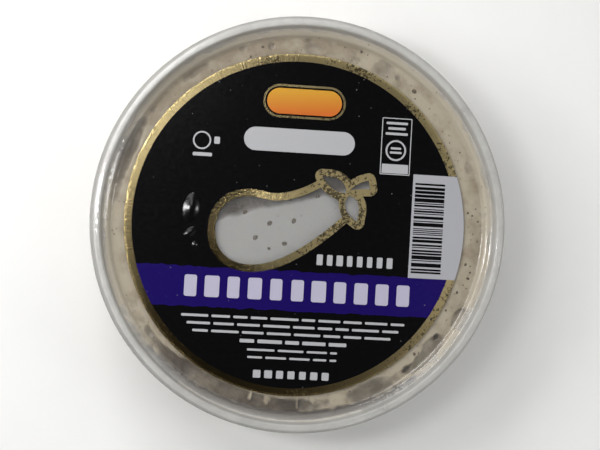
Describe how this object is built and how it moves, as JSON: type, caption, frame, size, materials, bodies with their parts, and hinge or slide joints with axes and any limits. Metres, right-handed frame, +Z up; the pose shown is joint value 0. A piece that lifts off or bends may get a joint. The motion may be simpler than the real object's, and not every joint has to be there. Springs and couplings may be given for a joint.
{
  "type": "tub of baba ganoush",
  "caption": "Round clear plastic tub of aubergine dip, shut with a press-on lid that carries a round printed label with a window.",
  "frame": {"origin": "middle of the footprint, on the surface that the tub stands on", "axes": "+Z up, out of the lid; +Y towards the top edge of the label; +X towards the right of the label"},
  "size_m": [0.117, 0.117, 0.036],
  "materials": {
    "tub_plastic": "clear, slightly milky polypropylene, moulded smooth",
    "lid_plastic": "clear, slightly milky polypropylene, moulded smooth",
    "dip": "wet, creamy grey-beige dip with dark specks",
    "label_film": "glossy black printed film with gold foil"
  },
  "bodies": {
    "root": {"tub": "tub_plastic", "baba_ganoush": "dip", "lid": "lid_plastic", "label": "label_film"}
  },
  "joints": []
}
